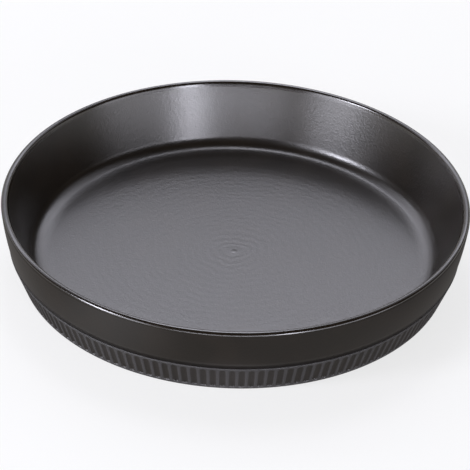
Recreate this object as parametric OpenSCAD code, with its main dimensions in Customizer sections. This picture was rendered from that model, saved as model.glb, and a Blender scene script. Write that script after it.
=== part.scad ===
// Round ceramic baking dish with a fluted foot band, formed and fired in one piece.
// Origin: centre of the face that the dish rests on. +Z points up, out of the dish.

/* [Dish] */
// Diameter across the outside of the rim
rim_d = 280; // [200:1:340]
// Height from the resting face to the top of the rim
dish_h = 46; // [40:0.5:60]

/* [Wall] */
// Thickness of the rounded rim
rim_t = 4.1; // [3:0.1:6]
// Slope of the outer wall just under the rim, in degrees from upright
outer_slope = 5.2; // [2:0.1:8]
// Radius of the outer wall's bulge, which leans further in towards the band
bulge_r = 160; // [150:5:400]
// Slope of the inner wall, in degrees from upright
inner_slope = 20.5; // [12:0.5:26]
// Radius of the curve that turns the inner wall into the floor
corner_r = 9.5; // [6:0.5:20]
// Radius of the gentle rise of the floor before that curve
rise_r = 30; // [25:1:60]
// Slope at which the gentle rise becomes the tighter curve, in degrees from level
rise_slope = 8; // [4:0.5:12]

/* [Floor and foot] */
// Thickness of the floor over the recessed underside
floor_t = 5.3; // [3.5:0.1:7]
// Depth of the recess inside the foot ring
recess_h = 0.9; // [0.6:0.1:2.5]
// Width of the flat ring that the dish rests on
foot_w = 9; // [6:0.5:14]
// Slope of the recess's edge, in degrees from upright
recess_slope = 35; // [20:1:50]
// Radius of the outer edge of the foot
foot_round = 1.5; // [0.6:0.1:2]

/* [Fluted band] */
// Height of the band above the resting face
band_h = 18.8; // [12:0.2:20]
// How far the top of the band stands out from the wall above it
ledge_w = 0.5; // [0.4:0.1:1.2]
// Radius of the ledge's outer edge
ledge_round = 0.4; // [0.3:0.1:0.8]
// Slope of the band towards the foot, in degrees from upright
band_slope = 20.5; // [8:0.5:22]
// Number of flutes round the band
flute_count = 154; // [120:1:160]
// Radius of the rounded hollow of a flute
flute_r = 2.5; // [1.8:0.1:2.7]
// Depth of a flute below the face of the band
flute_depth = 0.8; // [0.4:0.1:0.9]
// Plain strip between the ledge and the tops of the flutes
flute_gap = 1.4; // [0.8:0.1:3]
// Height of a flute's arched top
flute_arch = 1.4; // [0.8:0.1:2.5]
// Height of the plain edge of the foot, under the flutes
lip_h = 2; // [1.5:0.1:4]

/* [Hidden] */
$fn = 180;
// Flat faces that make up the hollow of a flute
flute_faces = 4;
// How far a cutting shape runs past the face that it leaves by
past = 2;
floor_z = recess_h + floor_t;
// Centre of the rim's round
rim_c = [rim_d / 2 - rim_t / 2, dish_h - rim_t / 2];
// Centre of the outer wall's bulge, which touches the rim's round from outside
bulge_c = rim_c - (bulge_r - rim_t / 2) * [cos(outer_slope), -sin(outer_slope)];
// Angle of the bulge where it meets the ledge, the wall's radius there, and the band's upper edge
bulge_end = -asin((bulge_c[1] - band_h) / bulge_r);
wall_foot_r = bulge_c[0] + bulge_r * cos(bulge_end);
band_top_r = wall_foot_r + ledge_w;
// Centre of the curve from wall to floor: it lies above the rise, and touches the inner wall
corner_z = floor_z + rise_r - (rise_r - corner_r) * cos(rise_slope);
corner_c = [rim_c[0] + ((corner_z - rim_c[1]) * sin(inner_slope) - corner_r - rim_t / 2) / cos(inner_slope), corner_z];
// Centre of the gentle rise, which touches the floor and that curve
rise_c = [corner_c[0] - (rise_r - corner_r) * sin(rise_slope), floor_z + rise_r];

// Radius of the band's face at a height above the resting face
function band_r(z) = band_top_r - (band_h - z) * tan(band_slope);

// Centre of an edge's rounding, which touches the band's face and a level face at distance r
function edge_centre(z, r) = [band_r(z) - r / cos(band_slope), z];

// Points along a circular arc
function arc(centre, r, from, to, steps) =
    [for (i = [0 : steps]) centre + r * [cos(from + (to - from) * i / steps), sin(from + (to - from) * i / steps)]];

// Half section of the turned body: recess, foot, band, ledge, outer wall, rim, inner wall and floor
module dish_section() {
    foot = edge_centre(foot_round, foot_round);
    ledge = edge_centre(band_h - ledge_round, ledge_round);
    ring_r = foot[0] - foot_w;
    polygon(concat(
        [[0, recess_h], [ring_r - recess_h * tan(recess_slope), recess_h], [ring_r, 0]],
        arc(foot, foot_round, -90, -band_slope, 3),
        arc(ledge, ledge_round, -band_slope, 90, 3),
        arc(bulge_c, bulge_r, bulge_end, -outer_slope, 6),
        arc(rim_c, rim_t / 2, 0, 180 - inner_slope, 7),
        arc(corner_c, corner_r, -inner_slope, rise_slope - 90, 7),
        arc(rise_c, rise_r, rise_slope - 90, -90, 2),
        [[0, floor_z]]
    ));
}

// Cutter for one flute: a rounded hollow along the slope of the band, from the foot's plain edge to an arched top
module flute() {
    axis_x = flute_r - flute_depth;
    half_w = sqrt(pow(flute_r, 2) - pow(axis_x, 2));
    foot_z = lip_h / cos(band_slope);
    arch_z = band_h / cos(band_slope) - flute_gap - flute_arch;
    hollow = arc([axis_x, 0], flute_r, 120, 240, flute_faces);
    arch = [for (p = arc([0, 0], half_w, 0, 180, flute_faces)) [p[0], arch_z + p[1] * flute_arch / half_w]];
    translate([band_r(0), 0, 0]) rotate([0, band_slope, 0]) intersection() {
        translate([0, 0, foot_z]) linear_extrude(height = arch_z + flute_arch + past - foot_z) polygon(hollow);
        translate([past, 0, 0]) rotate([90, 0, -90]) linear_extrude(height = 2 * past)
            polygon(concat([[-half_w, foot_z - past], [half_w, foot_z - past]], arch));
    }
}

// The whole dish: one turned body with the flutes cut into its foot band
module dish() {
    color([0.17, 0.17, 0.175]) difference() {
        rotate_extrude() dish_section();
        for (i = [1 : flute_count]) rotate([0, 0, (i - 0.5) * 360 / flute_count]) flute();
    }
}

dish();
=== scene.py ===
"""A round ceramic baking dish in satin black glaze, standing on a pale studio floor.

Lengths are in metres. +Z points up, out of the dish, and the dish rests on z = 0.
"""
from math import asin, atan2, cos, hypot, pi, radians, sin, sqrt, tan

import bmesh
import bpy
from mathutils import Matrix, Vector


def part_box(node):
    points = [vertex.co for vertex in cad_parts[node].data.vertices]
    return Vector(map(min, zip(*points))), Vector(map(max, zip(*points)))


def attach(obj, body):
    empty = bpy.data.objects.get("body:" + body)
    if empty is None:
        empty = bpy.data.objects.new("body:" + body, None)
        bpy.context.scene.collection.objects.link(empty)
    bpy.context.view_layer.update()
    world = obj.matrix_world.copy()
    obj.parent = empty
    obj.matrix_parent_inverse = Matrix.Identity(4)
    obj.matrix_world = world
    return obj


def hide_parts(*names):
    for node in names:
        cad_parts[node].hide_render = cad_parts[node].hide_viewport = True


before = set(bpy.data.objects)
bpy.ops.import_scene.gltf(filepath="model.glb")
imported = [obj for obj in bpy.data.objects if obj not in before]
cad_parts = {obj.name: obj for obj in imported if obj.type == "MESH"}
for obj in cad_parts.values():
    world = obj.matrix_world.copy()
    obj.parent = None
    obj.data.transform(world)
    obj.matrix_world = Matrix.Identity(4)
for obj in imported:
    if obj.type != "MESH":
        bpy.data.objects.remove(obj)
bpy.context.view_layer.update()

# Dish
# One piece of stoneware. It is pressed in a mould, which forms the flutes of the foot band, then glazed
# satin black and fired. Only the ring that it stands on is wiped clean of glaze.

_, rim_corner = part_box("dish")
RIM_RADIUS = rim_corner[0]
HEIGHT = rim_corner[2]
RIM_THICKNESS = 0.0041
OUTER_SLOPE = radians(5.2)
BULGE_RADIUS = 0.16
INNER_SLOPE = radians(20.5)
CORNER_RADIUS = 0.0095
RISE_RADIUS = 0.03
RISE_SLOPE = radians(8)
FLOOR_THICKNESS = 0.0053
RECESS_HEIGHT = 0.0009
RECESS_SLOPE = radians(35)
FOOT_WIDTH = 0.009
FOOT_ROUND = 0.0015
BAND_HEIGHT = 0.0188
BAND_SLOPE = radians(20.5)
LEDGE_WIDTH = 0.0005
LEDGE_ROUND = 0.0004
FLUTES = 154
FLUTES_IN_GROUP = 14
FLUTE_RADIUS = 0.0025
FLUTE_DEPTH = 0.0008
FLUTE_FULLNESS = 3
FLUTE_GAP = 0.0014
FLUTE_ARCH = 0.0014
FLUTE_HEEL = 0.0006
LIP_HEIGHT = 0.002
STEPS_PER_FLUTE = 10
RIM_HOLD = 0.03
WELD = 1e-6


def around(centre, radius, angle):
    """The point on a circle of the half section at an angle from the outward direction."""
    return centre[0] + radius * cos(angle), centre[1] + radius * sin(angle)


def band_radius(z):
    """Radius of the band's face, on the ribs' crests, at a height above the resting face."""
    return band_top - (BAND_HEIGHT - z) * tan(BAND_SLOPE)


def flute_depth(z, across):
    """Depth of a flute at a height and at a distance from its middle, with a scooped end above and below."""
    half = sqrt(FLUTE_RADIUS ** 2 - (FLUTE_RADIUS - FLUTE_DEPTH) ** 2)
    past_arch = (z - arch_foot) / cos(BAND_SLOPE) / FLUTE_ARCH
    past_heel = (heel_top - z) / cos(BAND_SLOPE) / FLUTE_HEEL
    spread = hypot(across / half, max(0, past_arch, past_heel))
    return FLUTE_DEPTH * max(0, 1 - spread ** FLUTE_FULLNESS)


class Pen:
    """Draws the half section of the turned body in the XZ plane, one stretch at a time."""

    def __init__(self, drawing, x, z):
        self.drawing = drawing
        self.tip = drawing.verts.new((x, 0, z))

    def line(self, x, z, stops=()):
        """A straight stretch, with a point at each stop, which is a share of its length."""
        start = self.tip.co.copy()
        end = Vector((x, 0, z))
        for stop in (*stops, 1):
            self.tip = bmesh.ops.extrude_vert_indiv(self.drawing, verts=[self.tip])["verts"][0]
            self.tip.co = start.lerp(end, stop)

    def arc(self, centre, turn, steps):
        """A round stretch: the tip turns about a centre, anticlockwise for a positive angle."""
        drawn = bmesh.ops.spin(self.drawing, geom=[self.tip], cent=(centre[0], 0, centre[1]),
                               axis=(0, -1, 0), angle=turn, steps=steps)
        self.tip = next(part for part in drawn["geom_last"] if isinstance(part, bmesh.types.BMVert))


floor_z = RECESS_HEIGHT + FLOOR_THICKNESS
rim_round = RIM_THICKNESS / 2
rim_centre = (RIM_RADIUS - rim_round, HEIGHT - rim_round)
bulge_centre = around(rim_centre, rim_round - BULGE_RADIUS, -OUTER_SLOPE)
bulge_foot = asin((BAND_HEIGHT - bulge_centre[1]) / BULGE_RADIUS)
bulge_turn = -OUTER_SLOPE - bulge_foot
wall_foot = around(bulge_centre, BULGE_RADIUS, bulge_foot)
band_top = wall_foot[0] + LEDGE_WIDTH
corner_z = floor_z + RISE_RADIUS - (RISE_RADIUS - CORNER_RADIUS) * cos(RISE_SLOPE)
corner_drop = (rim_centre[1] - corner_z) * sin(INNER_SLOPE) + CORNER_RADIUS + rim_round
corner_centre = (rim_centre[0] - corner_drop / cos(INNER_SLOPE), corner_z)
rise_centre = (corner_centre[0] - (RISE_RADIUS - CORNER_RADIUS) * sin(RISE_SLOPE), floor_z + RISE_RADIUS)
foot_centre = (band_radius(FOOT_ROUND) - FOOT_ROUND / cos(BAND_SLOPE), FOOT_ROUND)
ring_inside = foot_centre[0] - FOOT_WIDTH
ledge_z = BAND_HEIGHT - LEDGE_ROUND
ledge_centre = (band_radius(ledge_z) - LEDGE_ROUND / cos(BAND_SLOPE), ledge_z)
arch_foot = BAND_HEIGHT - (FLUTE_GAP + FLUTE_ARCH) * cos(BAND_SLOPE)
arch_top = BAND_HEIGHT - FLUTE_GAP * cos(BAND_SLOPE)
heel_top = LIP_HEIGHT + FLUTE_HEEL

# The stops close to a corner keep the smooth shading flat up to it. Those at the flutes' ends bend with
# the scoops.
clay = bmesh.new()
pen = Pen(clay, 0, RECESS_HEIGHT)
pen.line(ring_inside - RECESS_HEIGHT * tan(RECESS_SLOPE), RECESS_HEIGHT, stops=(0.99,))
pen.line(ring_inside, 0, stops=(0.2, 0.8))
pen.line(foot_centre[0], 0, stops=(0.03, 0.97))
pen.arc(foot_centre, pi / 2 - BAND_SLOPE, steps=5)
pen.line(band_radius(LIP_HEIGHT), LIP_HEIGHT)
pen.line(band_radius(heel_top), heel_top, stops=(0.33, 0.67))
pen.line(band_radius(arch_foot), arch_foot, stops=(0.5,))
pen.line(band_radius(arch_top), arch_top, stops=(0.3, 0.55, 0.75, 0.9))
pen.line(*around(ledge_centre, LEDGE_ROUND, -BAND_SLOPE), stops=(0.8,))
pen.arc(ledge_centre, pi / 2 + BAND_SLOPE, steps=4)
pen.line(*wall_foot)
pen.arc(bulge_centre, (1 - RIM_HOLD) * bulge_turn, steps=5)
pen.arc(bulge_centre, RIM_HOLD * bulge_turn, steps=1)
pen.arc(rim_centre, pi + OUTER_SLOPE - INNER_SLOPE, steps=11)
pen.line(*around(corner_centre, CORNER_RADIUS, -INNER_SLOPE), stops=(0.02, 0.98))
pen.arc(corner_centre, INNER_SLOPE + RISE_SLOPE - pi / 2, steps=9)
pen.arc(rise_centre, -RISE_SLOPE, steps=2)
pen.line(0, floor_z, stops=(0.01, 0.5))

# The section turns through one flute, whose hollow is pressed in. That sector is repeated to make a
# group of flutes, and a whole number of groups goes round the dish.
pitch = 2 * pi / FLUTES
bmesh.ops.spin(clay, geom=clay.verts[:] + clay.edges[:], cent=(0, 0, 0), axis=(0, 0, 1),
               angle=pitch, steps=STEPS_PER_FLUTE)
for point in clay.verts:
    radius = hypot(point.co.x, point.co.y)
    if radius > foot_centre[0] and LIP_HEIGHT <= point.co.z <= arch_top:
        across = (atan2(point.co.y, point.co.x) - pitch / 2) * radius
        point.co.xy *= 1 - flute_depth(point.co.z, across) / cos(BAND_SLOPE) / radius
sectors = 1
for copies in (FLUTES_IN_GROUP, FLUTES // FLUTES_IN_GROUP):
    bmesh.ops.spin(clay, geom=clay.verts[:] + clay.edges[:] + clay.faces[:], cent=(0, 0, 0), axis=(0, 0, 1),
                   angle=pitch * sectors * (copies - 1), steps=copies - 1, use_duplicate=True)
    sectors *= copies
bmesh.ops.remove_doubles(clay, verts=clay.verts, dist=WELD)
bmesh.ops.recalc_face_normals(clay, faces=clay.faces)
dish_mesh = bpy.data.meshes.new("baking_dish")
clay.to_mesh(dish_mesh)
clay.free()
dish_mesh.shade_smooth()
dish = bpy.data.objects.new("baking_dish", dish_mesh)
bpy.context.collection.objects.link(dish)


class Wire:
    """One output of a material's nodes. Maths written on wires adds the nodes that work it out."""

    def __init__(self, tree, socket=None):
        self.tree = tree
        self.socket = socket

    def node(self, kind, settings, inputs, output=0):
        """Any node: its settings come first, then the values or the wires of its sockets."""
        made = self.tree.nodes.new(kind)
        for name, value in settings.items():
            setattr(made, name, value)
        for name, value in inputs.items():
            if isinstance(value, Wire):
                self.tree.links.new(value.socket, made.inputs[name])
            else:
                made.inputs[name].default_value = value
        return Wire(self.tree, made.outputs[output])

    def maths(self, operation, first, second):
        return self.node("ShaderNodeMath", {"operation": operation}, {0: first, 1: second})

    def __add__(self, other):
        return self.maths("ADD", self, other)

    def __sub__(self, other):
        return self.maths("SUBTRACT", self, other)

    def __rsub__(self, other):
        return self.maths("SUBTRACT", other, self)

    def __mul__(self, other):
        return self.maths("MULTIPLY", self, other)

    def __pow__(self, power):
        return self.maths("POWER", self, power)

    __radd__ = __add__
    __rmul__ = __mul__

    def between(self, low, high):
        """0 at the low value and under it, 1 at the high value and over it, smooth between them."""
        return self.node("ShaderNodeMapRange", {"interpolation_type": "SMOOTHSTEP"},
                         {"Value": self, "From Min": low, "From Max": high})

    def colours(self, first, second):
        """A colour that goes from the first to the second as this wire goes from 0 to 1."""
        # A Mix node takes its factor in socket 0 and its colours in 6 and 7, and its colour comes out of 2.
        return self.node("ShaderNodeMix", {"data_type": "RGBA"}, {0: self, 6: first, 7: second}, 2)

    def axis(self, letter):
        """One coordinate of this wire's place."""
        return self.node("ShaderNodeSeparateXYZ", {}, {"Vector": self}, letter)

    def noise(self, size, detail):
        """Noise at this wire's place, with features of a size in metres."""
        return self.node("ShaderNodeTexNoise", {}, {"Vector": self, "Scale": 1 / size, "Detail": detail})


BLACK = (0.0072, 0.0048, 0.0027, 1)
WARM_BLACK = (0.0102, 0.0067, 0.0038, 1)
# The thin glaze's lighter colour is real on the ribs' crests. On the band's ledge it is also painted light.
THIN_GLAZE_AND_LEDGE_LIGHT = (0.07, 0.068, 0.071, 1)
STONEWARE = (0.3, 0.26, 0.22, 1)
STONEWARE_DARK = (0.2, 0.17, 0.14, 1)
PATCH_SIZE = 0.02
GLAZE_PATCHES = (0.35, 0.7)
STONEWARE_PATCHES = (0.3, 0.7)
GLAZE_INDEX = 1.8
GLAZE_ROUGHNESS = 0.295
PATCH_ROUGHNESS = 0.03
BAND_ROUGHNESS = 0.5
LEDGE_ROUGHNESS = 0.75
RIM_ROUGHNESS = 0.21
STONEWARE_ROUGHNESS = 0.85
THIN_ON_CREST = 0.6
# On the ledge the lighter colour is partly thin glaze at its edge and partly painted light.
THIN_AND_PAINTED_LIGHT_ON_LEDGE = 0.4
PEBBLE_SIZE = 0.0012
PEBBLE_HEIGHT = 0.000075
RIPPLE_SIZE = 0.0028
RIPPLE_HEIGHT = 0.00004
STONEWARE_GRAIN = 2
TURNING_PITCH = 0.0055
TURNING_HEIGHT = 0.000013
TURNING_WAVER = 7
TURNING_WAVER_SCALE = 1.3
CENTRE_TURNING = 2
CENTRE_MARK_RADIUS = 0.0025
CENTRE_MARK_HEIGHT = 0.0003
# Each finish is whole up to its FLAT value, and has faded out at its EDGE, DEPTH or RADIUS.
WIPED_FLAT = 0.0001
WIPED_EDGE = 0.0003
CREST_FLAT = 0.00005
CREST_DEPTH = 0.0003
BAND_FLAT = 0.001
BAND_DEPTH = 0.0015
LEDGE_EDGE = 0.0003
RIM_FLAT = 0.0015
RIM_DEPTH = 0.0035
TURNED_FLAT = 0.09
TURNED_RADIUS = 0.105
CENTRE_FLAT = 0.004
CENTRE_RADIUS = 0.03
# At a scale of 1, the wave texture has 20 radians of its wave to a metre.
WAVE_RATE = 20

glaze = bpy.data.materials.new("satin black glaze")
glaze.use_nodes = True
skin = Wire(glaze.node_tree)
surface = glaze.node_tree.nodes["Principled BSDF"]
place = skin.node("ShaderNodeTexCoord", {}, {}, "Object")
x = place.axis("X")
y = place.axis("Y")
z = place.axis("Z")
out = (x * x + y * y) ** 0.5
pebbles = place.noise(PEBBLE_SIZE, detail=2)
ripples = place.noise(RIPPLE_SIZE, detail=1)
patches = place.noise(PATCH_SIZE, detail=1)
rings = skin.node("ShaderNodeTexWave", {"wave_type": "RINGS", "rings_direction": "Z"},
                  {"Vector": place, "Scale": 2 * pi / WAVE_RATE / TURNING_PITCH,
                   "Distortion": TURNING_WAVER, "Detail Scale": TURNING_WAVER_SCALE}, "Fac")

# Where each finish lies: the wiped ring, the ribs' crests, the band and its ledge, the rim, and the floor
# inside with its middle
bare = (1 - z.between(WIPED_FLAT, WIPED_EDGE)) * out.between(ring_inside - WIPED_EDGE, ring_inside)
behind_face = band_radius(0) - out + z * tan(BAND_SLOPE)
crest = 1 - behind_face.between(CREST_FLAT, CREST_DEPTH)
below_wall = 1 - z.between(BAND_HEIGHT, BAND_HEIGHT + LEDGE_EDGE)
band = (1 - behind_face.between(BAND_FLAT, BAND_DEPTH)) * below_wall
on_ledge = z.between(ledge_z, BAND_HEIGHT)
rim = z.between(HEIGHT - RIM_DEPTH, HEIGHT - RIM_FLAT)
on_floor = z.between(RECESS_HEIGHT, floor_z) * (1 - out.between(TURNED_FLAT, TURNED_RADIUS))
at_centre = 1 - out.between(CENTRE_FLAT, CENTRE_RADIUS)

# The ribs' crests are lighter where the glaze runs thin. On the ledge the same colour is partly a thin glaze
# at its edge and partly painted light, standing in for the light its top would mirror.
thin_glaze_and_ledge_light = THIN_ON_CREST * crest * (1 - on_ledge) + THIN_AND_PAINTED_LIGHT_ON_LEDGE * band * on_ledge
black = patches.between(*GLAZE_PATCHES).colours(BLACK, WARM_BLACK)
fired = patches.between(*STONEWARE_PATCHES).colours(STONEWARE, STONEWARE_DARK)
colour = bare.colours(thin_glaze_and_ledge_light.colours(black, THIN_GLAZE_AND_LEDGE_LIGHT), fired)

# The picture's noise filter takes a roughness under 0.274 for a mirror's, and grain shows in patches
# where a wide surface crosses that value. So the glaze stays over it, and only the rim lies under it.
roughness = GLAZE_ROUGHNESS + (patches - 0.5) * PATCH_ROUGHNESS
roughness = roughness + band * (BAND_ROUGHNESS - GLAZE_ROUGHNESS)
roughness = roughness + band * on_ledge * (LEDGE_ROUGHNESS - BAND_ROUGHNESS)
roughness = roughness + rim * (RIM_ROUGHNESS - GLAZE_ROUGHNESS)
roughness = roughness + bare * (STONEWARE_ROUGHNESS - GLAZE_ROUGHNESS)

turned = rings * (1 + CENTRE_TURNING * at_centre) * TURNING_HEIGHT
turned = turned + (1 - out.between(0, CENTRE_MARK_RADIUS)) * CENTRE_MARK_HEIGHT
grain = (pebbles * PEBBLE_HEIGHT + ripples * RIPPLE_HEIGHT) * (1 - rim)
relief = grain * (1 + STONEWARE_GRAIN * bare) + on_floor * turned
bump = skin.node("ShaderNodeBump", {}, {"Height": relief, "Distance": 1.0}, "Normal")
for name, wire in {"Base Color": colour, "Roughness": roughness, "Normal": bump}.items():
    glaze.node_tree.links.new(wire.socket, surface.inputs[name])
surface.inputs["IOR"].default_value = GLAZE_INDEX
dish_mesh.materials.append(glaze)

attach(dish, "root")
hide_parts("dish")

# Studio floor
# A sheet of white paper, a tenth of a millimetre under the foot ring. Near the dish it takes the lamps'
# light and the dish's shadow, and further out it fades into the white that stands behind everything. The
# glaze mirrors it at levels of its own: a glint at the front left, a glow at the foot, shade at the right.

FLOOR_RADIUS = 1.6
FLOOR_SIDES = 96
PAPER = (0.25, 0.25, 0.25, 1)
PAPER_GLOW = 0.72
PAPER_DROP = 0.0001
PAPER_IN_GLAZE = (0.226, 0.215, 0.209, 1)
SHADE_IN_GLAZE = (0.14, 0.133, 0.13, 1)
SHADE_START = 0.09
SHADE_END = 0.19
GLINT_IN_GLAZE = (0.5, 0.49, 0.5, 1)
GLINT = (-0.115, -0.155, 0)
GLINT_RADIUS = 0.088
FOOT_GLOW_IN_GLAZE = (0.42, 0.4, 0.42, 1)
FOOT_GLOW = (0, -0.118, 0)
FOOT_GLOW_RADIUS = 0.042
FADE_START = 0.3
FADE_END = 0.8

paper_sheet = bmesh.new()
bmesh.ops.create_circle(paper_sheet, cap_ends=True, segments=FLOOR_SIDES, radius=FLOOR_RADIUS,
                        matrix=Matrix.Translation((0, 0, -PAPER_DROP)))
floor_mesh = bpy.data.meshes.new("studio_floor")
paper_sheet.to_mesh(floor_mesh)
paper_sheet.free()
floor = bpy.data.objects.new("studio_floor", floor_mesh)
bpy.context.collection.objects.link(floor)


def distance(place, point):
    """How far a wire's place lies from a point."""
    return place.node("ShaderNodeVectorMath", {"operation": "DISTANCE"}, {0: place, 1: point}, "Value")


def rays(start):
    """Two wires: 1 for what the camera sees, and 1 for what it sees mirrored or through glass."""
    camera_ray = start.node("ShaderNodeLightPath", {}, {}, "Is Camera Ray")
    glossy_ray = start.node("ShaderNodeLightPath", {}, {}, "Is Glossy Ray")
    clear_ray = start.node("ShaderNodeLightPath", {}, {}, "Is Transmission Ray")
    return camera_ray, glossy_ray + clear_ray


paper = bpy.data.materials.new("white paper")
paper.use_nodes = True
paper.node_tree.nodes.remove(paper.node_tree.nodes["Principled BSDF"])
sheet = Wire(paper.node_tree)
direct, mirrored = rays(sheet)
place = sheet.node("ShaderNodeTexCoord", {}, {}, "Object")
lit = sheet.node("ShaderNodeBsdfDiffuse", {}, {"Color": PAPER}, "BSDF")
glow = sheet.node("ShaderNodeEmission", {}, {"Strength": direct * PAPER_GLOW})
seen = sheet.node("ShaderNodeAddShader", {}, {0: lit, 1: glow})
in_glaze = place.axis("X").between(SHADE_START, SHADE_END).colours(PAPER_IN_GLAZE, SHADE_IN_GLAZE)
in_glaze = distance(place, GLINT).between(0, GLINT_RADIUS).colours(GLINT_IN_GLAZE, in_glaze)
in_glaze = distance(place, FOOT_GLOW).between(0, FOOT_GLOW_RADIUS).colours(FOOT_GLOW_IN_GLAZE, in_glaze)
reflected = sheet.node("ShaderNodeEmission", {}, {"Color": in_glaze})
near = sheet.node("ShaderNodeMixShader", {}, {0: mirrored, 1: seen, 2: reflected})
far = sheet.node("ShaderNodeEmission", {}, {"Strength": direct + mirrored})
fade = distance(place, (0, 0, 0)).between(FADE_START, FADE_END)
blend = sheet.node("ShaderNodeMixShader", {}, {0: fade, 1: near, 2: far})
paper.node_tree.links.new(blend.socket, paper.node_tree.nodes["Material Output"].inputs["Surface"])
floor_mesh.materials.append(paper)

# Studio light
# Nine soft lamps, a little cool: a bank and a strip behind the dish, one at the back right, one overhead,
# a key and a fill on each side in front, and a low strip in front. The room is white low down, and its
# ceiling, as the glaze mirrors it, is dark and warm.

FILL = 0.2
WALL_TOP = radians(4)
CEILING_START = radians(14)
CEILING = 0.03
WHITE = (1, 1, 1, 1)
WARM = (1, 0.75, 0.5, 1)
COOL = (0.9, 0.9, 1)
LAMP_DISTANCE = 2.0

world = bpy.data.worlds.new("studio")
world.use_nodes = True
bpy.context.scene.world = world
room = Wire(world.node_tree)
direct, mirrored = rays(room)
toward = room.node("ShaderNodeTexCoord", {}, {}, "Generated")
ceiling = toward.axis("Z").between(sin(WALL_TOP), sin(CEILING_START))
walls = 1 - ceiling * (1 - CEILING)
level = direct + mirrored * walls + (1 - direct - mirrored) * FILL
tint = (mirrored * ceiling).colours(WHITE, WARM)
background = world.node_tree.nodes["Background"]
world.node_tree.links.new(tint.socket, background.inputs["Color"])
world.node_tree.links.new(level.socket, background.inputs["Strength"])


def softbox(name, bearing, elevation, width, height, level):
    """A lamp that faces the dish and fills the given angles. Bearings run clockwise from behind the dish,
    and a level of 1 is as bright as white paper in the picture."""
    data = bpy.data.lights.new(name, "AREA")
    data.shape = "RECTANGLE"
    data.size = 2 * LAMP_DISTANCE * tan(radians(width / 2))
    data.size_y = 2 * LAMP_DISTANCE * tan(radians(height / 2))
    data.energy = level * pi * data.size * data.size_y
    data.color = COOL
    lamp = bpy.data.objects.new(name, data)
    angle = radians(bearing)
    rise = radians(elevation)
    facing = Vector((sin(angle) * cos(rise), cos(angle) * cos(rise), sin(rise)))
    lamp.location = facing * LAMP_DISTANCE
    lamp.rotation_euler = facing.to_track_quat("Z", "Y").to_euler()
    lamp.visible_camera = False
    bpy.context.collection.objects.link(lamp)


softbox("back bank", 345, 39, 84, 44, 0.9)
softbox("back strip", 350, 40.5, 90, 9, 2.6)
softbox("back right", 50, 44, 30, 34, 0.55)
softbox("top strip", 356, 61, 16, 22, 6)
softbox("left key", 244, 26.5, 13, 13, 31)
softbox("left fill", 231, 16, 25, 25, 4.4)
softbox("right key", 155, 14.5, 9, 16, 16.5)
softbox("right fill", 130, 9, 44, 18, 2.2)
softbox("front strip", 180, 8, 50, 9, 5.9)

# Camera
# It stands in front of the dish and looks down on it from about 34 degrees, a little tilted to one side.
# Its focal length is in pixels of the photo, which is 470 pixels wide.

PHOTO_WIDTH = 470
FOCAL_PIXELS = 2318.8
SENSOR_WIDTH = 36
CAMERA_DISTANCE = 1.4
CAMERA_RISE = radians(33.59)
CAMERA_TURN = radians(-0.51)
CAMERA_ROLL = radians(1.93)
MIDDLE_Z = 0.022
AIM = Vector((0.00015, -0.00186, 0.01921))

camera_data = bpy.data.cameras.new("camera")
camera_data.sensor_width = SENSOR_WIDTH
camera_data.lens = FOCAL_PIXELS / PHOTO_WIDTH * SENSOR_WIDTH
camera = bpy.data.objects.new("camera", camera_data)
bpy.context.collection.objects.link(camera)
stand = Vector((0, -cos(CAMERA_RISE), sin(CAMERA_RISE))) * CAMERA_DISTANCE + Vector((0, 0, MIDDLE_Z))
sight = (stand - AIM).to_track_quat("Z", "Y").to_matrix().to_4x4()
turn = Matrix.Rotation(CAMERA_TURN, 4, "Z")
camera.matrix_world = turn @ Matrix.Translation(stand) @ sight @ Matrix.Rotation(CAMERA_ROLL, 4, "Z")
bpy.context.scene.camera = camera
bpy.context.scene.view_settings.view_transform = "Standard"
